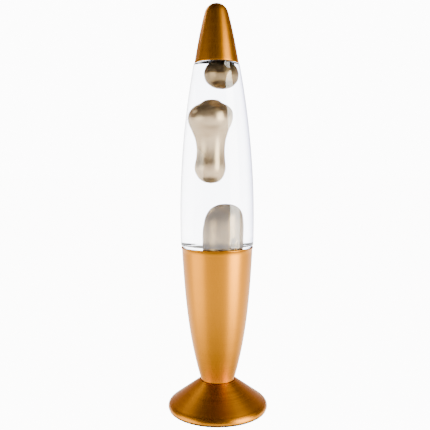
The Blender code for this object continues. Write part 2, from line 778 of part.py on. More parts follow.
def holder_sleeve():
    top = HOLDER_TOP_Z
    outline = [
        (9.0, top), (12.6, top), (HOLDER_RADIUS, top - 0.8), (HOLDER_RADIUS, HOLDER_JOINT_Z),
        (11.3, HOLDER_JOINT_Z), (11.3, top - 1.4), (9.0, top - 1.4),
    ]
    return turned("holder_sleeve", outline, white_plastic("holder_sleeve_plastic"))


def holder_thread():
    high = HOLDER_TOP_Z - 1.8
    low = CORE_TOP_Z + GAP
    outline = [(7.35, high), (7.75, high), (7.75, low), (7.35, low)]
    return turned("holder_thread", outline, brass("thread_brass"), COARSE)


def holder_contact():
    low = RECESS_Z + GAP
    top = BULB_TIP_Z - GAP
    outline = [(0, top), (2.2, top), (4.5, low + 0.3), (4.5, low), (0, low)]
    return turned("holder_contact", outline, brass("contact_bronze"), SMALL)


def holder_screw(name, side):
    low = CORE_TOP_Z + GAP
    outline = [(0, low + 2.2), (1.3, low + 2.0), (1.3, low), (0, low)]
    screw = turned(name, outline, bright_metal("holder_screw_steel"), SMALL)
    screw.location = (side * 9.4 * MM, 0, 0)
    return screw


# ---------------------------------------------------------------- bulb


def bulb_outline(inset):
    """The reflector bulb's side from its apex down to the end of its neck."""
    apex = (0, BULB_TOP_Z - inset)
    widest = (BULB_RADIUS - inset, BULB_WIDEST_Z)
    dome = bezier((apex, (10.5, BULB_TOP_Z - inset), (widest[0], BULB_WIDEST_Z + 6.5), widest), 5)
    neck = (BULB_NECK_RADIUS - inset, BULB_NECK_Z + 3)
    body = bezier((widest, (widest[0], BULB_WIDEST_Z - 11), (neck[0] + 1, BULB_NECK_Z + 16), neck), 5)
    return [*dome, *body[1:], (neck[0], BULB_NECK_Z)]


def bulb_envelope():
    outline = bulb_outline(0) + bulb_outline(BULB_WALL)[::-1]
    return turned("bulb_envelope", outline, clear_glass("bulb_glass"), COARSE)


def bulb_cap():
    top = BULB_NECK_Z + 2
    inner = BULB_NECK_RADIUS + GAP
    outline = [
        (inner, top), (BULB_CAP_RADIUS, top), (BULB_CAP_RADIUS, 50.0), (5.3, 48.3),
        (5.0, 48.6), (inner, 50.3),
    ]
    return turned("bulb_cap", outline, brass("bulb_cap_brass"), COARSE)


def bulb_insulator():
    outline = [(0, 48.1), (4.6, 48.1), (2.6, 45.9), (0, 45.9)]
    return turned("bulb_insulator", outline, black_plastic("bulb_black_glass"), COARSE)


def bulb_contact():
    outline = [(0, 45.6), (2.2, 45.6), (2.0, 45.0), (0, BULB_TIP_Z)]
    return turned("bulb_contact", outline, bright_metal("bulb_solder"), SMALL)


def bulb_stem():
    outline = [
        (0, STEM_TOP_Z), (1.7, STEM_TOP_Z), (1.9, 74.0), (2.4, 69.0), (4.9, 66.0),
        (4.9, BULB_NECK_Z + 0.6), (0, BULB_NECK_Z + 0.6),
    ]
    return turned("bulb_stem", outline, clear_glass("stem_glass"), SMALL)


def bulb_filament():
    points = [(FILAMENT_HALF * cos(a), 0, FILAMENT_Z + 2.5 * sin(a)) for a in spread(pi, 0, 8)]
    return wire("bulb_filament", points, 0.25, bright_metal("filament_tungsten"))


def bulb_wire(name, side):
    low = (side * 1.0, 0, STEM_TOP_Z + GAP)
    high = (side * FILAMENT_HALF, 0, FILAMENT_Z - 0.4)
    points = bezier((low, (low[0], 0, 81.0), (high[0], 0, 82.0), high), 5)
    return wire(name, points, 0.3, bright_metal("bulb_wire_nickel"))


# ---------------------------------------------------------------- assembly


def joint_empty(name, place=(0, 0, 0)):
    empty = bpy.data.objects.new(name, None)
    empty.location = Vector(place) * MM
    PARTS.objects.link(empty)
    return empty


def carry(empty, pieces):
    """Parents pieces to an empty and leaves them where they are."""
    bpy.context.view_layer.update()
    for piece in pieces:
        piece.parent = empty
        piece.matrix_parent_inverse = empty.matrix_world.inverted()


def build_base():
    pieces = [base_foot(), base_cup(), base_plate(), foot_pad(), spider_bracket()]
    pieces += [threaded_nipple(), lock_washer(), lock_nut(), cord_bush(), terminal_block()]
    pieces += [plate_screw(i + 1, angle) for i, angle in enumerate(ARM_ANGLES)]
    pieces += block_screws()
    pieces += [inner_lead("lead_brown", -1, LEAD_BROWN), inner_lead("lead_blue", 1, LEAD_BLUE)]
    pieces += [holder_base(), holder_core(), holder_sleeve(), holder_thread(), holder_contact()]
    pieces += [holder_screw("holder_screw_left", -1), holder_screw("holder_screw_right", 1)]
    carry(joint_empty("base"), pieces)


def build_bulb():
    pieces = [bulb_envelope(), bulb_cap(), bulb_insulator(), bulb_contact()]
    pieces += [bulb_stem(), bulb_filament()]
    pieces += [bulb_wire("bulb_wire_left", -1), bulb_wire("bulb_wire_right", 1)]
    carry(joint_empty("bulb_axis", (0, 0, BULB_TIP_Z)), pieces)


def build_bottle():
    column = soft_body("wax_column", COLUMN_RINGS, None, CUTTERS)
    pieces = [glass_bottle(), clear_liquid(), wax_pool(column), heat_coil(), crown_cap(), crown_liner()]
    carry(joint_empty("bottle_axis", (0, 0, BOTTLE_BOTTOM_Z)), pieces)


def build_wax_blobs():
    middle = soft_body("wax_blob_middle", MIDDLE_RINGS, gold_wax("middle_wax"))
    carry(joint_empty("middle_blob_axis", (MIDDLE_RINGS[3][2], 0, MIDDLE_RINGS[3][0])), [middle])
    top = soft_body("wax_blob_top", TOP_RINGS, gold_wax("top_wax"))
    carry(joint_empty("top_blob_axis", (TOP_RINGS[2][2], 0, TOP_RINGS[2][0])), [top])


def build_cap():
    carry(joint_empty("cap_axis", (0, 0, CAP_RIM_Z)), [cap_shell()])


build_base()
build_bulb()
build_bottle()
build_wax_blobs()
build_cap()
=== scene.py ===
# %% [markdown]
# # A lava lamp in spun metal, glass and wax
# The lamp is a flared foot, a cup that hides a small bulb, a bottle of clear liquid with pearly
# wax in it, and a pointed cap. The frame that is loaded first holds every part at its real size
# and place. This lesson gives the parts their fine surfaces and finishes, and lights them.

from math import cos, pi, radians, sin, sqrt, tau

import bmesh
import bpy
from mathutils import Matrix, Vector, noise


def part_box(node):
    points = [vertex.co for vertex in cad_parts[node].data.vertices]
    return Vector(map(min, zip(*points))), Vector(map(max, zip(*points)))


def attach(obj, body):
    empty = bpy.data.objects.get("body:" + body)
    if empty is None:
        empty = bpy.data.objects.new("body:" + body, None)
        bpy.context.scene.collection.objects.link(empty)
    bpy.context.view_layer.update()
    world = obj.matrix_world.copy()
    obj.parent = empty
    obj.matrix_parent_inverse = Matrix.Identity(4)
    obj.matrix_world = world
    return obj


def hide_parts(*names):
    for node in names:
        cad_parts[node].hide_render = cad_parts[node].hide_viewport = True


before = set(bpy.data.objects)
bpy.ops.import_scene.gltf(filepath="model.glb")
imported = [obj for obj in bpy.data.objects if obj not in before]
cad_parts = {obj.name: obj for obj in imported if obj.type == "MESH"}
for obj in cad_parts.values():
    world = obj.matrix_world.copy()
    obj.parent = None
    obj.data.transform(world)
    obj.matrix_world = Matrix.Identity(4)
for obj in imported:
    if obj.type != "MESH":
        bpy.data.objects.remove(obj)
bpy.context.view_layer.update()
MM = 0.001

# %% [markdown]
# ## Small tools
# A colour is picked as a hex value on the screen, but shaders add up light, so the hex value is
# turned to linear light first. `node` adds one shader node, sets its values and plugs in its
# links, which keeps a material readable as a list of steps.

# %% Colour and nodes


def linear(hex_colour):
    steps = [int(hex_colour[i:i + 2], 16) / 255 for i in (1, 3, 5)]
    return [(c / 12.92 if c <= 0.04045 else ((c + 0.055) / 1.055) ** 2.4) for c in steps] + [1.0]


def node(tree, kind, settings=None, **links):
    made = tree.nodes.new(kind)
    for name, value in (settings or {}).items():
        if isinstance(name, int) or name in made.inputs:
            made.inputs[name].default_value = value
        else:
            setattr(made, name, value)
    for name, source in links.items():
        tree.links.new(source, made.inputs[name.replace("_", " ")])
    return made


def new_material(name):
    """A material with its Principled shader, and object coordinates for its patterns."""
    material = bpy.data.materials.new(name)
    material.use_nodes = True
    tree = material.node_tree
    return material, tree, tree.nodes["Principled BSDF"], tree.nodes.new("ShaderNodeTexCoord")


def ramp(tree, factor, stops):
    """A colour ramp through (position, linear colour) stops."""
    made = node(tree, "ShaderNodeValToRGB", Fac=factor)
    bar = made.color_ramp
    while len(bar.elements) < len(stops):
        bar.elements.new(1.0)
    for element, (place, colour) in zip(bar.elements, stops):
        element.position = place
        element.color = colour
    return made.outputs["Color"]


print("white is", linear("#FFFFFF"))

# %% [markdown]
# ## The studio
# The lamp stands on a pale table before a white backdrop, in an otherwise dark room. Spun
# metal mirrors all of it: sides that lean down mirror the bright table and glow, and sides that
# lean up mirror the dark ceiling and go deep brown. One tall soft light on the right draws the
# bright stripe, a wider one fills the left, and a small one above lights the foot.

# %% [markdown]
# ### Camera
# The camera stands close, a little above the lamp's middle, and looks down a few degrees. So
# it sees the cone of the foot from above and the rim of the cap from below.

# %% Camera
CAMERA_DISTANCE = 0.570
CAMERA_HEIGHT = 0.2402
CAMERA_PITCH = radians(4.23)
CAMERA_ROLL = radians(0.2)
CAMERA_SIDE = -0.0020
CAMERA_LENS = 47.47

camera_data = bpy.data.cameras.new("camera")
camera_data.lens = CAMERA_LENS
camera_data.sensor_width = 36.0
camera = bpy.data.objects.new("camera", camera_data)
camera.location = (CAMERA_SIDE, -CAMERA_DISTANCE, CAMERA_HEIGHT)
camera.rotation_euler = (pi / 2 - CAMERA_PITCH, CAMERA_ROLL, 0)
bpy.context.scene.collection.objects.link(camera)
bpy.context.scene.camera = camera
print("camera", [round(v, 3) for v in camera.location])

# %% [markdown]
# ### Backdrop and dark room
# A product is lit in a dark room in front of a white backdrop. The camera sees the backdrop,
# also through the glass, but metal and wax mirror the room. The world does the same for every
# angle: a ray that has been mirrored finds the room, a scattered one finds an even light, and
# any other finds the backdrop. The studio is therefore a trick and not a real room. The world
# isn't sampled as a lamp, because a lamp can't know what kind of ray it meets.

# %% World
BACKDROP = 12.0
ROOM_WALL, ROOM_CEILING, ROOM_BEHIND = 0.045, 0.02, 0.6
TABLE_LIGHT, UNDER_LIGHT, DIFFUSE_LIGHT = 3.0, 0.2, 2.0
ROOM_TONE = linear("#FFDCC4")
LIGHT_TONE = linear("#FFF9E6")
# Where one light turns into the next, as parts of a view direction: Z up, Y back, X sideways.
CEILING_FADE, HORIZON_FADE, TABLE_FADE = (0.10, 0.45), (-0.01, -0.15), (-0.62, -0.40)
BEHIND_FADE, SHADE_FADE = (0.3, 0.95), (-0.40, -0.90)
BACKDROP_WHITE = linear("#FFFFFF")
BACKDROP_SHADE = linear("#9599B4")

world = bpy.data.worlds.new("studio")
world.use_nodes = True
world.cycles.sampling_method = "NONE"
bpy.context.scene.world = world
sky = world.node_tree


def soft_step(tree, value, start, end, low, high):
    settings = {"From Min": start, "From Max": end, "To Min": low, "To Max": high,
                "interpolation_type": "SMOOTHSTEP"}
    return node(tree, "ShaderNodeMapRange", settings, Value=value).outputs["Result"]


def was_reflected(tree):
    """Nought for a ray that only passed through glass, and one after any reflection."""
    path = tree.nodes.new("ShaderNodeLightPath")
    bounces = node(tree, "ShaderNodeMath", {"operation": "ADD", "use_clamp": True})
    tree.links.new(path.outputs["Glossy Depth"], bounces.inputs[0])
    tree.links.new(path.outputs["Diffuse Depth"], bounces.inputs[1])
    return bounces.outputs["Value"]


def backdrop_tone(tree, sideways, reflected):
    """White behind the lamp, and a pale lavender shade far out on the left."""
    shade = soft_step(tree, sideways, *SHADE_FADE, 0.0, 1.0)
    unmirrored = node(tree, "ShaderNodeMath", {"operation": "MULTIPLY_ADD", 1: -1.0, 2: 1.0}, Value=reflected)
    amount = node(tree, "ShaderNodeMath", {"operation": "MULTIPLY"})
    tree.links.new(shade, amount.inputs[0])
    tree.links.new(unmirrored.outputs["Value"], amount.inputs[1])
    tone = node(tree, "ShaderNodeMix", {"data_type": "RGBA", 6: BACKDROP_WHITE, 7: BACKDROP_SHADE})
    tree.links.new(amount.outputs["Value"], tone.inputs[0])
    return tone.outputs[2]


sky_place = sky.nodes.new("ShaderNodeTexCoord")
way = node(sky, "ShaderNodeSeparateXYZ", Vector=sky_place.outputs["Generated"])
room = soft_step(sky, way.outputs["Z"], *CEILING_FADE, ROOM_WALL, ROOM_CEILING)
behind = soft_step(sky, way.outputs["Y"], *BEHIND_FADE, 0.0, ROOM_BEHIND)
walls = node(sky, "ShaderNodeMath", {"operation": "ADD"})
sky.links.new(room, walls.inputs[0])
sky.links.new(behind, walls.inputs[1])
glow = soft_step(sky, way.outputs["Z"], *TABLE_FADE, UNDER_LIGHT, TABLE_LIGHT)
lower_half = soft_step(sky, way.outputs["Z"], *HORIZON_FADE, 0.0, 1.0)
below = node(sky, "ShaderNodeMapRange", Value=lower_half)
sky.links.new(walls.outputs["Value"], below.inputs["To Min"])
sky.links.new(glow, below.inputs["To Max"])
path = sky.nodes.new("ShaderNodeLightPath")
scattered = node(sky, "ShaderNodeMapRange", {"To Min": 0.0, "To Max": DIFFUSE_LIGHT},
                 Value=path.outputs["Diffuse Depth"])
brighter = node(sky, "ShaderNodeMath", {"operation": "MAXIMUM"})
sky.links.new(below.outputs["Result"], brighter.inputs[0])
sky.links.new(scattered.outputs["Result"], brighter.inputs[1])
reflected = was_reflected(sky)
strength = node(sky, "ShaderNodeMapRange", {"To Min": BACKDROP}, Value=reflected)
sky.links.new(brighter.outputs["Value"], strength.inputs["To Max"])
sky.links.new(strength.outputs["Result"], sky.nodes["Background"].inputs["Strength"])
room_tone = node(sky, "ShaderNodeMix", {"data_type": "RGBA", 6: ROOM_TONE, 7: BACKDROP_WHITE})
sky.links.new(lower_half, room_tone.inputs[0])
tone = node(sky, "ShaderNodeMix", {"data_type": "RGBA"})
sky.links.new(reflected, tone.inputs[0])
sky.links.new(backdrop_tone(sky, way.outputs["X"], reflected), tone.inputs[6])
sky.links.new(room_tone.outputs[2], tone.inputs[7])
sky.links.new(tone.outputs[2], sky.nodes["Background"].inputs["Color"])
print("backdrop to ceiling", BACKDROP / ROOM_CEILING)

# %% [markdown]
# ### Soft lights
# A tall narrow softbox draws a long upright stripe on a turned shape. The key stands to the
# right, the fill to the left, and the small one high behind catches the foot's slope. Their
# light is slightly warm, which keeps the stripes golden.

# %% Soft lights


def softbox(name, azimuth, distance, foot, head, width, radiance):
    """A tall box that faces the lamp. The azimuth is counted from the camera to the right."""
    light = bpy.data.lights.new(name, "AREA")
    light.shape = "RECTANGLE"
    light.size = width
    light.size_y = head - foot
    light.energy = radiance * 4 * width * (head - foot)
    light.color = LIGHT_TONE[:3]
    lamp = bpy.data.objects.new(name, light)
    lamp.location = (distance * sin(radians(azimuth)), -distance * cos(radians(azimuth)), (foot + head) / 2)
    lamp.rotation_euler = (pi / 2, 0, radians(azimuth))
    lamp.visible_camera = False
    bpy.context.scene.collection.objects.link(lamp)
    return lamp


FOOT_MIDDLE = Vector((0, 0, 0.02))

softbox("key_right", azimuth=58, distance=0.9, foot=-0.22, head=0.78, width=0.54, radiance=9)
softbox("fill_left", azimuth=-68, distance=0.9, foot=-0.30, head=0.42, width=0.75, radiance=2.6)
overhead = softbox("overhead_left", azimuth=-137, distance=0.75, foot=0.78, head=0.98, width=0.26, radiance=7)
overhead.rotation_euler = (overhead.location - FOOT_MIDDLE).to_track_quat("Z", "Y").to_euler()

# %% [markdown]
# ### Table
# The table is only a pale surface for the camera. Mirrored rays pass it by and find the light
# below it, so the lights can reach further down than a real table would let them. Far away it
# takes the backdrop's shade, which hides the line between the two.

# %% Table, an opal sheet lit from below
TABLE_SIZE = 60.0
TABLE_SEEN = 11.5
TABLE_SHADE_FROM_TO = (0.6, 2.4)  # m from the lamp

opal, tree, shader, place = new_material("opal_acrylic_table")
grain = node(tree, "ShaderNodeTexNoise", {"Scale": 3.0, "Detail": 2.0}, Vector=place.outputs["Object"])
tone = ramp(tree, grain.outputs["Fac"], [(0.0, linear("#88888C")), (1.0, linear("#909092"))])
tree.links.new(tone, shader.inputs["Base Color"])
shader.inputs["Roughness"].default_value = 0.6
reflected = was_reflected(tree)
glow = node(tree, "ShaderNodeMapRange", {"To Min": TABLE_SEEN, "To Max": TABLE_LIGHT}, Value=reflected)
tree.links.new(glow.outputs["Result"], shader.inputs["Emission Strength"])
sideways = node(tree, "ShaderNodeVectorMath", {"operation": "NORMALIZE"}, Vector=place.outputs["Object"])
across = node(tree, "ShaderNodeSeparateXYZ", Vector=sideways.outputs["Vector"])
away = node(tree, "ShaderNodeVectorMath", {"operation": "LENGTH"}, Vector=place.outputs["Object"])
far = soft_step(tree, away.outputs["Value"], *TABLE_SHADE_FROM_TO, 0.0, 1.0)
side = node(tree, "ShaderNodeMath", {"operation": "MULTIPLY"})
tree.links.new(across.outputs["X"], side.inputs[0])
tree.links.new(far, side.inputs[1])
tree.links.new(backdrop_tone(tree, side.outputs["Value"], reflected), shader.inputs["Emission Color"])
opal.cycles.emission_sampling = "NONE"
bm = bmesh.new()
bmesh.ops.create_grid(bm, x_segments=4, y_segments=4, size=TABLE_SIZE / 2)
table_mesh = bpy.data.meshes.new("table")
bm.to_mesh(table_mesh)
bm.free()
table_mesh.materials.append(opal)
table = bpy.data.objects.new("table", table_mesh)
table.location.z = -0.0002
table.visible_glossy = False
table.visible_shadow = False
bpy.context.scene.collection.objects.link(table)

# %% [markdown]
# ## Finishes
# Each finish is named for its material and for how it was made. Patterns read object
# coordinates in metres, so a scale of 1000 is one cycle per millimetre.

# %% [markdown]
# ### Spun, gold anodised aluminium
# The sheet is pressed against a spinning form, which leaves fine rings round it. Dye in the
# oxide gives the brown gold. The rings pull every highlight out at right angles to
# themselves, so the shader is anisotropic, turned a quarter round. A noise squeezed along Z
# draws the rings themselves, in colour, in roughness and as a very shallow bump.

# %% Gold anodised aluminium
RING_SPACING = 0.55  # mm, coarser than the real 0.1 mm so that the rings show


def spun_metal(name, dark, light, roughness, anisotropy):
    material, tree, shader, place = new_material(name)
    rings_place = node(tree, "ShaderNodeMapping", {"Scale": (14.0, 14.0, 1000 / RING_SPACING)},
                       Vector=place.outputs["Object"])
    rings = node(tree, "ShaderNodeTexNoise", {"Scale": 1.0, "Detail": 3.0, "Roughness": 0.65},
                 Vector=rings_place.outputs["Vector"])
    patches = node(tree, "ShaderNodeTexNoise", {"Scale": 35.0, "Detail": 2.0}, Vector=place.outputs["Object"])
    both = node(tree, "ShaderNodeMath", {"operation": "MULTIPLY_ADD", 1: 0.35},
                Value=patches.outputs["Fac"])
    tree.links.new(rings.outputs["Fac"], both.inputs[2])
    tone = ramp(tree, both.outputs["Value"], [(0.45, linear(dark)), (0.95, linear(light))])
    tree.links.new(tone, shader.inputs["Base Color"])
    rough = node(tree, "ShaderNodeMapRange", {"From Min": 0.3, "From Max": 0.7, "To Min": roughness - 0.04,
                 "To Max": roughness + 0.05}, Value=rings.outputs["Fac"])
    tree.links.new(rough.outputs["Result"], shader.inputs["Roughness"])
    bump = node(tree, "ShaderNodeBump", {"Strength": 0.25, "Distance": 0.00003}, Height=rings.outputs["Fac"])
    tree.links.new(bump.outputs["Normal"], shader.inputs["Normal"])
    shader.inputs["Metallic"].default_value = 1.0
    shader.inputs["Anisotropic"].default_value = anisotropy
    shader.inputs["Anisotropic Rotation"].default_value = 0.25
    return material


gold = spun_metal("gold_anodised_spun_aluminium", "#CC800A", "#D4890E", 0.38, 0.5)
silver = spun_metal("bare_spun_aluminium", "#DCDDDE", "#E8E9EA", 0.5, 0.3)

# %% [markdown]
# ### Glass and liquid
# The bottle is soda-lime glass, with an index of 1.5. The liquid is water with a little salt
# and glycol, at 1.36. The liquid's surface sits a touch inside the glass wall, so a ray never
# crosses a film of air between them, which would turn the edges to mirrors.

# %% Glass and liquid


def clear_stuff(name, tint, index, waviness, wave_size):
    """A clear material with a faint unevenness, as blown glass has."""
    material, tree, shader, place = new_material(name)
    waves = node(tree, "ShaderNodeTexNoise", {"Scale": 1 / wave_size, "Detail": 1.0},
                 Vector=place.outputs["Object"])
    bump = node(tree, "ShaderNodeBump", {"Strength": waviness, "Distance": 0.001},
                Height=waves.outputs["Fac"])
    tree.links.new(bump.outputs["Normal"], shader.inputs["Normal"])
    shader.inputs["Base Color"].default_value = linear(tint)
    shader.inputs["Roughness"].default_value = 0.0
    shader.inputs["IOR"].default_value = index
    shader.inputs["Transmission Weight"].default_value = 1.0
    return material


bottle_glass = clear_stuff("blown_soda_lime_glass", "#FBFCFF", 1.5, 0.02, 0.030)
lamp_liquid = clear_stuff("clear_lamp_liquid", "#FCFDFF", 1.36, 0.0, 0.050)

# %% [markdown]
# ### Pearl wax
# Mica flakes coated with metal oxide lie in the wax and turn it into a soft champagne metal.
# They lie flat at the surface, so it shines like satin, with a few flakes that sparkle. The
# lumps differ in tone by choice, and the darker tones are painted shade: the middle one is pale,
# the pool and column darker, and the top one darkest, which offsets the extra light that its
# underside mirrors in this studio.

# %% Pearl wax
FLAKE_SIZE = 0.0006  # m, coarser than real mica so that it shows
WAX_ROUGHNESS = {"To Min": 0.30, "To Max": 0.38}
WAX_METAL = 0.9


def pearl_wax(name, dark, light):
    material, tree, shader, place = new_material(name)
    swirl = node(tree, "ShaderNodeTexNoise", {"Scale": 60.0, "Detail": 3.0, "Distortion": 0.6},
                 Vector=place.outputs["Object"])
    flakes = node(tree, "ShaderNodeTexVoronoi", {"Scale": 1 / FLAKE_SIZE}, Vector=place.outputs["Object"])
    mixed = node(tree, "ShaderNodeMath", {"operation": "MULTIPLY_ADD", 1: 0.12},
                 Value=flakes.outputs["Distance"])
    tree.links.new(swirl.outputs["Fac"], mixed.inputs[2])
    tone = ramp(tree, mixed.outputs["Value"], [(0.35, linear(dark)), (0.75, linear(light))])
    tree.links.new(tone, shader.inputs["Base Color"])
    rough = node(tree, "ShaderNodeMapRange", WAX_ROUGHNESS, Value=swirl.outputs["Fac"])
    tree.links.new(rough.outputs["Result"], shader.inputs["Roughness"])
    bump = node(tree, "ShaderNodeBump", {"Strength": 0.06, "Distance": 0.0002},
                Height=flakes.outputs["Distance"])
    tree.links.new(bump.outputs["Normal"], shader.inputs["Normal"])
    shader.inputs["Metallic"].default_value = WAX_METAL
    return material


wax = pearl_wax("pearl_gold_wax", "#CBB089", "#DFC8A0")
# The pool and column wear a darker copy of the same wax, as painted shade.
pool_painted_shade_wax = pearl_wax("pool_painted_shade_pearl_gold_wax", "#A28A62", "#BFA57C")
# The top lump wears the darkest copy, as painted shade against the light its underside mirrors.
top_painted_shade_wax = pearl_wax("top_painted_shade_pearl_gold_wax", "#8A7452", "#A58D66")
print("wax ready")

# %% [markdown]
# ### Plain technical finishes
# Inside are moulded plastics, plated steel, brass, rubber and ceramic. Moulded and cast
# surfaces have a fine even grain. One function makes them from two tones, a roughness and a
# grain size, because that is all that tells them apart at this size.
#
# Rubber is dull and black, and moulded ABS a little glossier. Thermoset, steatite and nylon are
# pale and satin. Silicone sleeves are soft and coloured. Plated, rolled and drawn metals are
# smooth and mirror the room, and fused black glass is the shiniest of all.

# %% Technical finishes


def grained(name, dark, light, roughness, grain_mm, metallic=0.0, depth=0.15):
    material, tree, shader, place = new_material(name)
    grain = node(tree, "ShaderNodeTexNoise", {"Scale": 1000 / grain_mm / 4, "Detail": 3.0},
                 Vector=place.outputs["Object"])
    tone = ramp(tree, grain.outputs["Fac"], [(0.35, linear(dark)), (0.65, linear(light))])
    tree.links.new(tone, shader.inputs["Base Color"])
    rough = node(tree, "ShaderNodeMapRange", {"To Min": roughness - 0.06, "To Max": roughness + 0.06},
                 Value=grain.outputs["Fac"])
    tree.links.new(rough.outputs["Result"], shader.inputs["Roughness"])
    bump = node(tree, "ShaderNodeBump", {"Strength": depth, "Distance": 0.0001}, Height=grain.outputs["Fac"])
    tree.links.new(bump.outputs["Normal"], shader.inputs["Normal"])
    shader.inputs["Metallic"].default_value = metallic
    return material


rubber = grained("moulded_black_rubber", "#0C0C0D", "#161617", 0.75, 0.5)
black_abs = grained("moulded_black_abs", "#101011", "#1A1A1C", 0.5, 0.4)
thermoset = grained("pressed_cream_thermoset", "#D9D2C0", "#E3DDCD", 0.4, 0.5)
steatite = grained("fired_steatite_ceramic", "#DAD6CC", "#E8E5DD", 0.55, 0.3)
nylon = grained("moulded_natural_nylon", "#DCDACF", "#E9E8DF", 0.45, 0.5)
zinc = grained("zinc_plated_steel", "#A9ACB0", "#C3C6C9", 0.35, 0.6, metallic=1.0)
brass = grained("rolled_brass", "#C29A4C", "#D6B066", 0.3, 0.4, metallic=1.0)
tinplate = grained("pressed_tinplate", "#B3B3B0", "#C8C8C5", 0.25, 0.5, metallic=1.0)
liner = grained("moulded_vinyl_liner", "#C9C7BC", "#D5D3C9", 0.5, 0.4)
spring_steel = grained("drawn_stainless_wire", "#9A9A9A", "#B5B5B5", 0.28, 0.3, metallic=1.0)
tungsten = grained("drawn_tungsten_wire", "#6E6E70", "#808083", 0.4, 0.2, metallic=1.0)
solder = grained("dipped_solder", "#A8A8A8", "#BEBEBE", 0.35, 0.5, metallic=1.0)
vitrite = grained("fused_black_glass", "#060607", "#101014", 0.15, 0.4, depth=0.05)
brown_sleeve = grained("extruded_brown_silicone", "#4A2A16", "#5A351D", 0.5, 0.3)
blue_sleeve = grained("extruded_blue_silicone", "#234B96", "#2E5BAA", 0.5, 0.3)
bulb_glass = clear_stuff("thin_bulb_glass", "#F6F7F8", 1.5, 0.01, 0.010)
mirror_coat = grained("evaporated_mirror_coat", "#C9C9C9", "#D6D6D6", 0.12, 0.4, metallic=1.0, depth=0.03)

# %% [markdown]
# ## Turned pieces
# Foot, cup, bottle and cap are all bodies of revolution. Each is drawn as one closed outline,
# down the outer side and back up the inner one, and spun round the axis. Long soft curves are
# Bezier curves, so an outline needs only a handful of real points.

# %% Outlines and the lathe
SPIN_STEPS = 144


def bezier(points, steps):
    a, b, c, d = (Vector(p) for p in points)
    rows = [i / steps for i in range(steps + 1)]
    return [
        tuple(a * (1 - t) ** 3 + b * 3 * t * (1 - t) ** 2 + c * 3 * t * t * (1 - t) + d * t**3)
        for t in rows
    ]


def arc(centre, radius, start, end, steps):
    angles = [radians(start + (end - start) * i / steps) for i in range(steps + 1)]
    return [(centre[0] + radius * cos(a), centre[1] + radius * sin(a)) for a in angles]


def spread(start, end, steps):
    return [start + (end - start) * i / steps for i in range(steps + 1)]


def lathe(outline, steps=SPIN_STEPS):
    """Spins a closed outline in mm about Z. An edge that lies on the axis is left out."""
    bm = bmesh.new()
    corners = [bm.verts.new((r * MM, 0, z * MM)) for r, z in outline]
    pairs = zip(corners, corners[1:] + corners[:1])
    edges = [bm.edges.new(pair) for pair in pairs if max(v.co.x for v in pair) > 0]
    bmesh.ops.spin(bm, geom=corners + edges, axis=(0, 0, 1), cent=(0, 0, 0), dvec=(0, 0, 0),
                   angle=tau, steps=steps, use_merge=True)
    bmesh.ops.remove_doubles(bm, verts=bm.verts, dist=0.000002)
    bmesh.ops.recalc_face_normals(bm, faces=bm.faces)
    return bm


def finish_piece(name, bm, materials, body, stands_for, crease=40):
    """Makes the mesh an object, shades it, hangs it on its body and hides the frame part it stands for."""
    mesh = bpy.data.meshes.new(name)
    bm.to_mesh(mesh)
    bm.free()
    for material in materials:
        mesh.materials.append(material)
    mesh.shade_smooth()
    mesh.set_sharp_from_angle(angle=radians(crease))
    piece = bpy.data.objects.new(name, mesh)
    bpy.context.scene.collection.objects.link(piece)
    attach(piece, body)
    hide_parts(stands_for)
    print(name, len(mesh.polygons), "faces")


def inside_is_bare(bm, floor_z=None):
    """Gives faces that look at the axis, and the floor inside, the second material."""
    for face in bm.faces:
        middle = face.calc_center_median()
        outward = Vector((middle.x, middle.y, 0))
        if outward.length > 0 and face.normal.dot(outward.normalized()) < -0.15:
            face.material_index = 1
        if floor_z and middle.z < floor_z * MM and face.normal.z > 0.5:
            face.material_index = 1


# %% [markdown]
# ### Foot
# The foot is a cone with a rolled rim. Its top is dished, and the cup's rounded end sits in
# the dish, which leaves the thin dark line between them.

# %% Foot
foot_low, foot_high = (Vector(corner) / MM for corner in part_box("base_foot"))
FOOT_TOP_RADIUS = 18.4
FOOT_TOP_Z = 29.3
FOOT_SLOPE = 0.743
FOOT_DROP = 1.25
DISH_Z = 28.2
HOLE_RADIUS = 5.35


def cone_z(radius):
    return FOOT_TOP_Z - (radius - FOOT_TOP_RADIUS) * FOOT_SLOPE


rim_r = foot_high.x
rim_z = foot_low.z
dish = [(HOLE_RADIUS, DISH_Z), *arc((17.0, DISH_Z + 0.5), 0.5, -90, -5, 3), (17.6, FOOT_TOP_Z - 0.1)]
lip = arc((18.0, FOOT_TOP_Z - 0.1), 0.4, 180, 50, 5)
cone = [(r, cone_z(r)) for r in (19.2, 26.0, 33.0, 40.0, 46.0)]
turn = bezier(((47.8, cone_z(47.8)), (49.6, cone_z(49.6)), (rim_r, 4.5), (rim_r, 2.5)), 12)
roll = arc((rim_r - 0.9, 2.1), 0.9, 0, -90, 6)
turned_in = bezier(((48.9, 3.2), (48.9, 4.4), (48.0, 6.0), (46.0, cone_z(46) - FOOT_DROP)), 6)
under = [(49.3, rim_z), (48.9, 1.6), *turned_in]
under += [(33.0, cone_z(33) - FOOT_DROP), (19.8, 27.0), (HOLE_RADIUS, 27.0)]
bm = lathe(dish + lip + cone + turn + roll + under)
for face in bm.faces:
    facing_down = face.normal.z < -0.3 and face.calc_center_median().z > 2 * MM
    face.material_index = 1 if facing_down else 0
finish_piece("foot", bm, [gold, silver], "root", "base_foot")

# %% [markdown]
# ### Cup
# The cup flares from a rounded end to a rolled bead at the rim. Only its outside is dyed. The
# bare metal inside shows through the glass as a silver band.

# %% Cup
cup_low, cup_high = (Vector(corner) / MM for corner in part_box("base_cup"))
CUP_RADII = (17.08, 30.13, 33.29, 35.66)
CUP_FROM_Z, CUP_TO_Z = 30.0, 165.0
CUP_WALL = 0.8
CUP_CORNER = 2.5
BEAD = 0.8


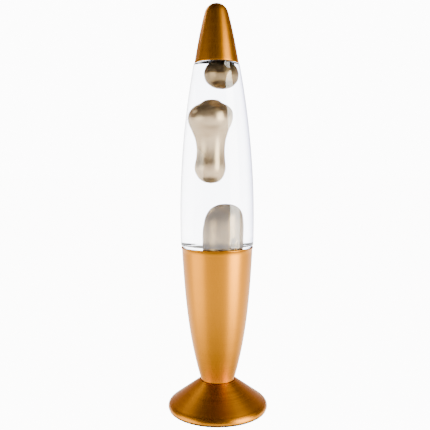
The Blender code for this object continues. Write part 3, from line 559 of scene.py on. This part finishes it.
def cup_radius(z):
    t = (z - CUP_FROM_Z) / (CUP_TO_Z - CUP_FROM_Z)
    a, b, c, d = CUP_RADII
    return a * (1 - t) ** 3 + b * 3 * t * (1 - t) ** 2 + c * 3 * t * t * (1 - t) + d * t**3


bead_centre = (cup_high.x - BEAD, cup_high.z - BEAD)
wall_top = bead_centre[1] - 1.1
corner_z = cup_low.z + CUP_CORNER
corner_centre = (cup_radius(corner_z) - CUP_CORNER, corner_z)
bead = arc(bead_centre, BEAD, 195, -50, 14)
outside = [(cup_radius(z), z) for z in spread(wall_top, corner_z, 36)]
bottom = arc(corner_centre, CUP_CORNER, -12, -90, 8)
floor = [(HOLE_RADIUS, cup_low.z), (HOLE_RADIUS, cup_low.z + CUP_WALL)]
inner_corner = arc(corner_centre, CUP_CORNER - CUP_WALL, -90, -12, 6)
inside = [(cup_radius(z) - CUP_WALL, z) for z in spread(corner_z, wall_top, 24)]
bm = lathe(bead + outside + bottom + floor + inner_corner + inside)
inside_is_bare(bm, floor_z=corner_z)
finish_piece("cup", bm, [gold, silver], "root", "base_cup")

# %% [markdown]
# ### Bottle
# The glass is a long barrel. Its lower part follows the cup's taper and drops into it, and a
# soft shoulder rests on the rim. Near the top a small ledge takes the cap, and above it the
# glass draws in to a neck with a rounded lip.

# %% Bottle
glass_low, glass_high = (Vector(corner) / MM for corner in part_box("glass_bottle"))
BARREL_RADIUS, BARREL_Z, BARREL_CURVE = 36.9, 195.0, 826.0
SHOULDER_TOP_Z, SHOULDER_Z = 168.8, 165.0
PLUG_Z, PLUG_CLEARANCE, BOTTLE_CORNER = 118.0, 0.85, 5.0
GLASS_WALL, GLASS_FLOOR = 2.6, 3.2
LEDGE_Z, NECK_Z, NECK_RADIUS, NECK_BORE = 347.5, 361.5, 13.1, 9.8


def barrel_radius(z):
    return BARREL_RADIUS - BARREL_CURVE + sqrt(BARREL_CURVE**2 - (z - BARREL_Z) ** 2)


def plug_radius(z):
    return cup_radius(z) - CUP_WALL - PLUG_CLEARANCE


def bottle_radius(z):
    if z >= SHOULDER_TOP_Z:
        return barrel_radius(z)
    if z >= SHOULDER_Z:
        rise = (z - SHOULDER_Z) / (SHOULDER_TOP_Z - SHOULDER_Z)
        swell = barrel_radius(SHOULDER_TOP_Z) - plug_radius(SHOULDER_Z)
        return plug_radius(SHOULDER_Z) + swell * (1 - cos(pi * rise)) / 2
    return plug_radius(z)


def neck_curve(wide, narrow, low, high, steps):
    rows = [i / steps for i in range(steps + 1)]
    return [(narrow + (wide - narrow) * (1 + cos(pi * t)) / 2, low + (high - low) * t) for t in rows]


def glass_side(low, high, inset):
    heights = spread(low, SHOULDER_Z, 8) + spread(SHOULDER_Z, SHOULDER_TOP_Z, 12)[1:]
    heights += spread(SHOULDER_TOP_Z, high, 34)[1:]
    return [(bottle_radius(z) - inset, z) for z in heights]


def inner_floor(inset):
    """The inside of the bottom, from the middle out to the start of the wall."""
    top = PLUG_Z + 1.5
    centre = (bottle_radius(top) - GLASS_WALL - BOTTLE_CORNER, glass_low.z + GLASS_FLOOR + BOTTLE_CORNER)
    corner = arc(centre, BOTTLE_CORNER - inset, -90, -15, 8)
    return [(0, glass_low.z + 2 + GLASS_FLOOR + inset), (17.0, corner[0][1]), *corner]


lip_z = glass_high.z
lip = [(NECK_BORE, lip_z - 0.8), *arc((NECK_BORE + 0.8, lip_z - 0.8), 0.8, 150, 90, 3)]
lip += arc((NECK_RADIUS - 0.8, lip_z - 1.0), 1.0, 90, 0, 5)
lip += [(NECK_RADIUS + 0.2, lip_z - 3.0), (NECK_RADIUS - 0.5, lip_z - 4.2), (NECK_RADIUS + 0.4, lip_z - 7.4)]
slope = neck_curve(20.6, NECK_RADIUS, LEDGE_Z + 0.3, NECK_Z, 16)[::-1]
ledge = arc((22.1, LEDGE_Z - 0.7), 0.7, 90, 10, 4)
side = glass_side(PLUG_Z, LEDGE_Z - 1.2, 0)[::-1]
heel = arc((bottle_radius(PLUG_Z) - BOTTLE_CORNER, PLUG_Z), BOTTLE_CORNER, -10, -90, 9)
base = [(20.0, glass_low.z), (12.0, glass_low.z + 1.3), (0, glass_low.z + 2)]
wall = glass_side(PLUG_Z + 4, LEDGE_Z - 2.5, GLASS_WALL)
throat = neck_curve(wall[-1][0], NECK_BORE, LEDGE_Z - 2.5, NECK_Z - 1, 16)[1:]
bm = lathe(lip + slope + ledge + side + heel + base + inner_floor(0) + wall + throat)
finish_piece("bottle", bm, [bottle_glass], "bottle", "glass_bottle", crease=60)

# %% [markdown]
# ### Liquid
# One clean closed fill, a tenth of a millimetre into the glass, up to a level in the neck. The
# wax simply lies inside it, because opaque wax needs no hole in the liquid round it.

# %% Liquid
INTO_GLASS = 0.12
liquid_high = Vector(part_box("clear_liquid")[1]).z / MM
fill_side = [(r + INTO_GLASS, z) for r, z in wall]
fill_throat = [(r + INTO_GLASS, z) for r, z in throat if z < liquid_high - 0.4]
level = [(fill_throat[-1][0], liquid_high), (0, liquid_high)]
bm = lathe(level[::-1] + (inner_floor(-INTO_GLASS) + fill_side + fill_throat)[::-1])
finish_piece("liquid", bm, [lamp_liquid], "bottle", "clear_liquid", crease=60)

# %% [markdown]
# ## Wax
# Warm wax takes the shapes that surface tension gives it: full round bellies joined by smooth
# necks. Each lump is spun from a soft curve through a few stations, then leaned sideways by
# height, since no real lump stays on the bottle's axis.

# %% Soft curves


def through(points, steps):
    """A smooth curve through points, with its tangents taken from their neighbours."""
    spots = [Vector(p) for p in points]
    spots = [2 * spots[0] - spots[1], *spots, 2 * spots[-1] - spots[-2]]
    made = []
    for a, b, c, d in zip(spots, spots[1:], spots[2:], spots[3:]):
        for i in range(steps):
            t = i / steps
            made.append(0.5 * (2 * b + (c - a) * t + (2 * a - 5 * b + 4 * c - d) * t * t
                               + (3 * b - a - 3 * c + d) * t**3))
    made.append(spots[-2])
    return made


def lean(bm, stations):
    """Shifts a lump sideways by height, through (height, shift) stations in mm."""
    rows = sorted((p.x, p.y) for p in through(stations, 8))
    for v in bm.verts:
        z = v.co.z / MM
        for (z0, s0), (z1, s1) in zip(rows, rows[1:]):
            if z0 <= z <= z1:
                v.co.x += (s0 + (s1 - s0) * (z - z0) / max(z1 - z0, 0.001)) * MM
                break
        else:
            v.co.x += (rows[0][1] if z < rows[0][0] else rows[-1][1]) * MM


def uneven(bm, centre, amount, size, low=-1000.0):
    """Pushes the skin in and out a little, in slow waves."""
    bm.normal_update()
    for v in bm.verts:
        if v.co.z / MM > low:
            wave = noise.noise((v.co + centre) / (size * MM))
            v.co += v.normal * wave * amount * MM
    bm.normal_update()


# %% [markdown]
# ### Pool and column
# Most of the wax lies at the bottom, hidden by the cup, and a thick column rises from it with
# a domed head. Two small fingers climb its side at the front right, just above the rim.

# %% Pool and column
POOL_Z = 133.0
pool_side = [(bottle_radius(z) - GLASS_WALL - 0.3, z) for z in spread(PLUG_Z + 4, POOL_Z - 2.5, 8)]
shore = arc((pool_side[-1][0] - 2.5, POOL_Z - 2.5), 2.5, 10, 80, 6)
column = through(
    [(27.0, POOL_Z + 0.3), (22.5, 135.5), (18.4, 142.0), (16.2, 152.0), (15.2, 166.0), (15.4, 180.0),
     (15.2, 188.0), (14.4, 195.5), (12.6, 201.5), (9.4, 206.2), (4.8, 209.0), (0.0, 209.7)], 6)
bm = lathe(([tuple(p) for p in inner_floor(0.3)] + pool_side + shore + [tuple(p) for p in column])[::-1], 160)
lean(bm, [(116.0, 0.0), (130.0, 0.0), (142.0, 1.6), (156.0, 4.0), (170.0, 4.3), (190.0, 4.9),
          (202.0, 5.7), (210.0, 6.4)])
FINGERS = ((13.4, -12.0, 177.0), (16.8, -9.2, 174.5))
FINGER_WIDTH, FINGER_PUSH, FINGER_ROOT_Z = 1.9, 2.3, 145
FINGER_TAPER, FINGER_TIP = 9.0, 5.0
COLUMN_X = 0.0045
for v in bm.verts:
    for x, y, top in FINGERS:
        spot = Vector((v.co.x / MM - x, v.co.y / MM - y))
        below = top - v.co.z / MM
        if below > 0 and v.co.z / MM > FINGER_ROOT_Z:
            reach = FINGER_WIDTH * min(1.0, (below / FINGER_TAPER) ** 0.7)
            push = max(0.0, 1 - (spot.length / (reach + 0.8)) ** 2) * min(1.0, below / FINGER_TIP)
            push *= FINGER_PUSH
            outward = Vector((v.co.x - COLUMN_X, v.co.y, 0)).normalized()
            v.co += outward * push * MM
uneven(bm, Vector((0.02, 0.01, 0.05)), 0.5, 16.0, low=150.0)
# The pool's darker wax is painted shade.
finish_piece("wax_pool_and_column", bm, [pool_painted_shade_wax], "bottle", "wax_pool", crease=60)

# %% [markdown]
# ### Drifting lumps
# The middle lump is two bellies joined by a neck, with a low dome on top. The top lump has
# pressed up into the narrow end of the bottle.

# %% Drifting lumps
middle_outline = through(
    [(0.0, 311.0), (4.6, 310.2), (8.0, 307.4), (12.6, 304.4), (15.8, 300.0), (16.8, 293.6), (15.9, 287.6),
     (13.6, 281.0), (11.3, 272.5), (10.3, 263.5), (10.6, 255.0), (11.5, 246.5), (11.1, 240.4),
     (9.0, 234.6), (5.2, 230.8), (0.0, 229.4)], 6)
bm = lathe([tuple(p) for p in middle_outline], 128)
lean(bm, [(229.0, -4.6), (245.0, -5.1), (262.0, -4.6), (285.0, -4.8), (300.0, -4.6), (311.0, -3.7)])
uneven(bm, Vector((0.03, 0.02, 0.01)), 0.5, 15.0)
finish_piece("wax_middle_lump", bm, [wax], "blob_middle", "wax_blob_middle", crease=60)

top_outline = through(
    [(0.0, 349.6), (5.6, 348.2), (10.2, 344.4), (12.3, 339.2), (12.6, 334.4), (11.2, 328.4), (7.6, 323.4),
     (3.6, 321.3), (0.0, 320.8)], 6)
bm = lathe([tuple(p) for p in top_outline], 128)
lean(bm, [(324.0, 3.8), (338.0, 3.5), (351.0, 3.5)])
uneven(bm, Vector((0.01, 0.05, 0.02)), 0.4, 14.0)
# The top lump's darkest wax is painted shade.
finish_piece("wax_top_lump", bm, [top_painted_shade_wax], "blob_top", "wax_blob_top", crease=60)

# %% [markdown]
# ### Cap
# The cap is the same dyed metal, spun to a slim cone that ends in a round tip. Its rim is
# rolled under, and it stands on the bottle's ledge.

# %% Cap
cap_low, cap_high = (Vector(corner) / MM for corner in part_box("cap_shell"))
CAP_SIDE = ((22.1, 348.0), (19.2, 364.47), (16.3, 380.93), (11.68, 397.4))
CAP_WALL, TIP_RADIUS, TIP_START = 0.8, 12.1, 15.0
tip_centre = (0, cap_high.z - TIP_RADIUS)
tip = [(0, cap_high.z), *arc(tip_centre, TIP_RADIUS, 86, TIP_START, 18)]
side = bezier(CAP_SIDE, 24)[::-1][1:-1]
rim = arc((CAP_SIDE[0][0] - 0.4, cap_low.z + 0.4), 0.4, 10, -170, 8)
inner_side = [(r - CAP_WALL, z) for r, z in bezier(CAP_SIDE, 16)][1:]
inner_tip = arc(tip_centre, TIP_RADIUS - CAP_WALL, TIP_START, 84, 10)[1:]
bm = lathe(tip + side + rim + inner_side + inner_tip + [(0, cap_high.z - CAP_WALL)])
inside_is_bare(bm)
finish_piece("cap", bm, [gold, silver], "cap", "cap_shell")

# %% [markdown]
# ## What shows when the lamp comes apart
# With the cap off there is a crown cap on the neck, and with the bottle out the bulb and its
# holder stand in the cup. They are worth the same care, because the lamp is opened to fit it.

# %% Crown cap with its flutes
FLUTES = 21
crown_low, crown_high = (Vector(corner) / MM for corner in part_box("crown_cap"))
SHEET = 0.3
crown_top = crown_high.z
skirt = bezier(((14.5, crown_top - 2.0), (14.6, crown_top - 3.6), (15.2, crown_low.z + 1.2),
                (15.6, crown_low.z)), 8)
crown_outer = [(0, crown_top), (11.5, crown_top), *arc((12.9, crown_top - 1.6), 1.6, 80, 5, 6), *skirt]
crown_inner = [(r - SHEET, z - (SHEET if z > crown_top - 1.0 else 0)) for r, z in crown_outer[::-1] if r > 0]
bm = lathe(crown_outer + crown_inner + [(0, crown_top - SHEET)], FLUTES * 8)
for v in bm.verts:
    depth = max(0.0, (crown_top - 1.8 - v.co.z / MM) / (crown_top - 1.8 - crown_low.z))
    around = Vector((v.co.x, v.co.y, 0))
    if around.length > 0.012:
        angle = Vector((v.co.x, v.co.y)).angle_signed(Vector((1, 0)))
        v.co += around.normalized() * cos(angle * FLUTES) * 0.38 * depth * MM
finish_piece("crown_with_flutes", bm, [tinplate], "bottle", "crown_cap")

# %% [markdown]
# ### Heat coil
# The coil in the wax is a long spring bent into a ring. Its path is a helix whose own axis
# runs round a circle, and a round bevel on that path makes the wire.

# %% Heat coil
COIL_TURNS, COIL_POINTS = 42, 1008
coil_low, coil_high = (Vector(corner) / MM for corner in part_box("heat_coil"))
coil_radius = (coil_high.z - coil_low.z) / 2 - 0.4
ring_radius = coil_high.x - coil_radius - 0.4
coil_curve = bpy.data.curves.new("coil_path", "CURVE")
coil_curve.dimensions = "3D"
coil_curve.bevel_depth = 0.4 * MM
coil_curve.bevel_resolution = 1
path = coil_curve.splines.new("POLY")
path.points.add(COIL_POINTS - 1)
for i, point in enumerate(path.points):
    around = tau * i / COIL_POINTS
    turn = around * COIL_TURNS
    radius = ring_radius + coil_radius * cos(turn)
    height = (coil_low.z + coil_high.z) / 2 + coil_radius * sin(turn)
    point.co = (radius * cos(around) * MM, radius * sin(around) * MM, height * MM, 1)
path.use_cyclic_u = True
coil_source = bpy.data.objects.new("coil_path", coil_curve)
bpy.context.scene.collection.objects.link(coil_source)
bpy.context.view_layer.update()
coil_mesh = bpy.data.meshes.new_from_object(coil_source.evaluated_get(bpy.context.evaluated_depsgraph_get()))
bpy.data.objects.remove(coil_source)
bm = bmesh.new()
bm.from_mesh(coil_mesh)
bmesh.ops.remove_doubles(bm, verts=bm.verts, dist=0.000001)
bmesh.ops.recalc_face_normals(bm, faces=bm.faces)
finish_piece("heat_coil_spring", bm, [spring_steel], "bottle", "heat_coil", crease=70)

# %% [markdown]
# ### Bulb
# The bulb is a small reflector type. Its waist is mirrored inside, so the light and the heat
# go up into the bottle, and only the domed front is clear.

# %% Bulb envelope
bulb_low, bulb_high = (Vector(corner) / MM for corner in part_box("bulb_envelope"))
WIDEST_Z, BULB_NECK, BULB_WALL = 99.5, 6.2, 0.6


def bulb_side(inset):
    apex = (0, bulb_high.z - inset)
    widest = (bulb_high.x - inset, WIDEST_Z)
    neck = (BULB_NECK - inset, bulb_low.z + 3)
    dome = bezier((apex, (10.5, bulb_high.z - inset), (widest[0], WIDEST_Z + 6.5), widest), 18)
    waist = bezier((widest, (widest[0], WIDEST_Z - 11), (neck[0] + 1, bulb_low.z + 16), neck), 22)
    return [*dome, *waist[1:], (neck[0], bulb_low.z)]


bm = lathe(bulb_side(0) + bulb_side(BULB_WALL)[::-1], 96)
for face in bm.faces:
    middle = face.calc_center_median()
    face.material_index = 1 if middle.z < WIDEST_Z * MM else 0
finish_piece("reflector_bulb", bm, [bulb_glass, mirror_coat], "bulb", "bulb_envelope",
             crease=60)

# %% [markdown]
# ## Finishes on the plain parts
# The other parts have their right shape in the frame already, so they only take a finish.

# %% Dress the frame's own parts
FINISHES = {
    rubber: ("foot_pad",),
    black_abs: ("base_plate", "cord_bush"),
    zinc: ("spider_bracket", "threaded_nipple", "lock_washer", "plate_screw_1", "plate_screw_2",
           "plate_screw_3", "block_screw_1", "block_screw_2", "block_screw_3", "block_screw_4",
           "holder_screw_left", "holder_screw_right"),
    brass: ("lock_nut", "holder_thread", "holder_contact", "bulb_cap"),
    thermoset: ("holder_base", "holder_sleeve"),
    steatite: ("holder_core",),
    nylon: ("terminal_block",),
    brown_sleeve: ("lead_brown",),
    blue_sleeve: ("lead_blue",),
    liner: ("crown_liner",),
    bulb_glass: ("bulb_stem",),
    vitrite: ("bulb_insulator",),
    solder: ("bulb_contact",),
    tungsten: ("bulb_filament", "bulb_wire_left", "bulb_wire_right"),
}
for material, names in FINISHES.items():
    for name in names:
        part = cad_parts[name]
        part.data.materials.clear()
        part.data.materials.append(material)
print("dressed", sum(len(names) for names in FINISHES.values()), "parts")
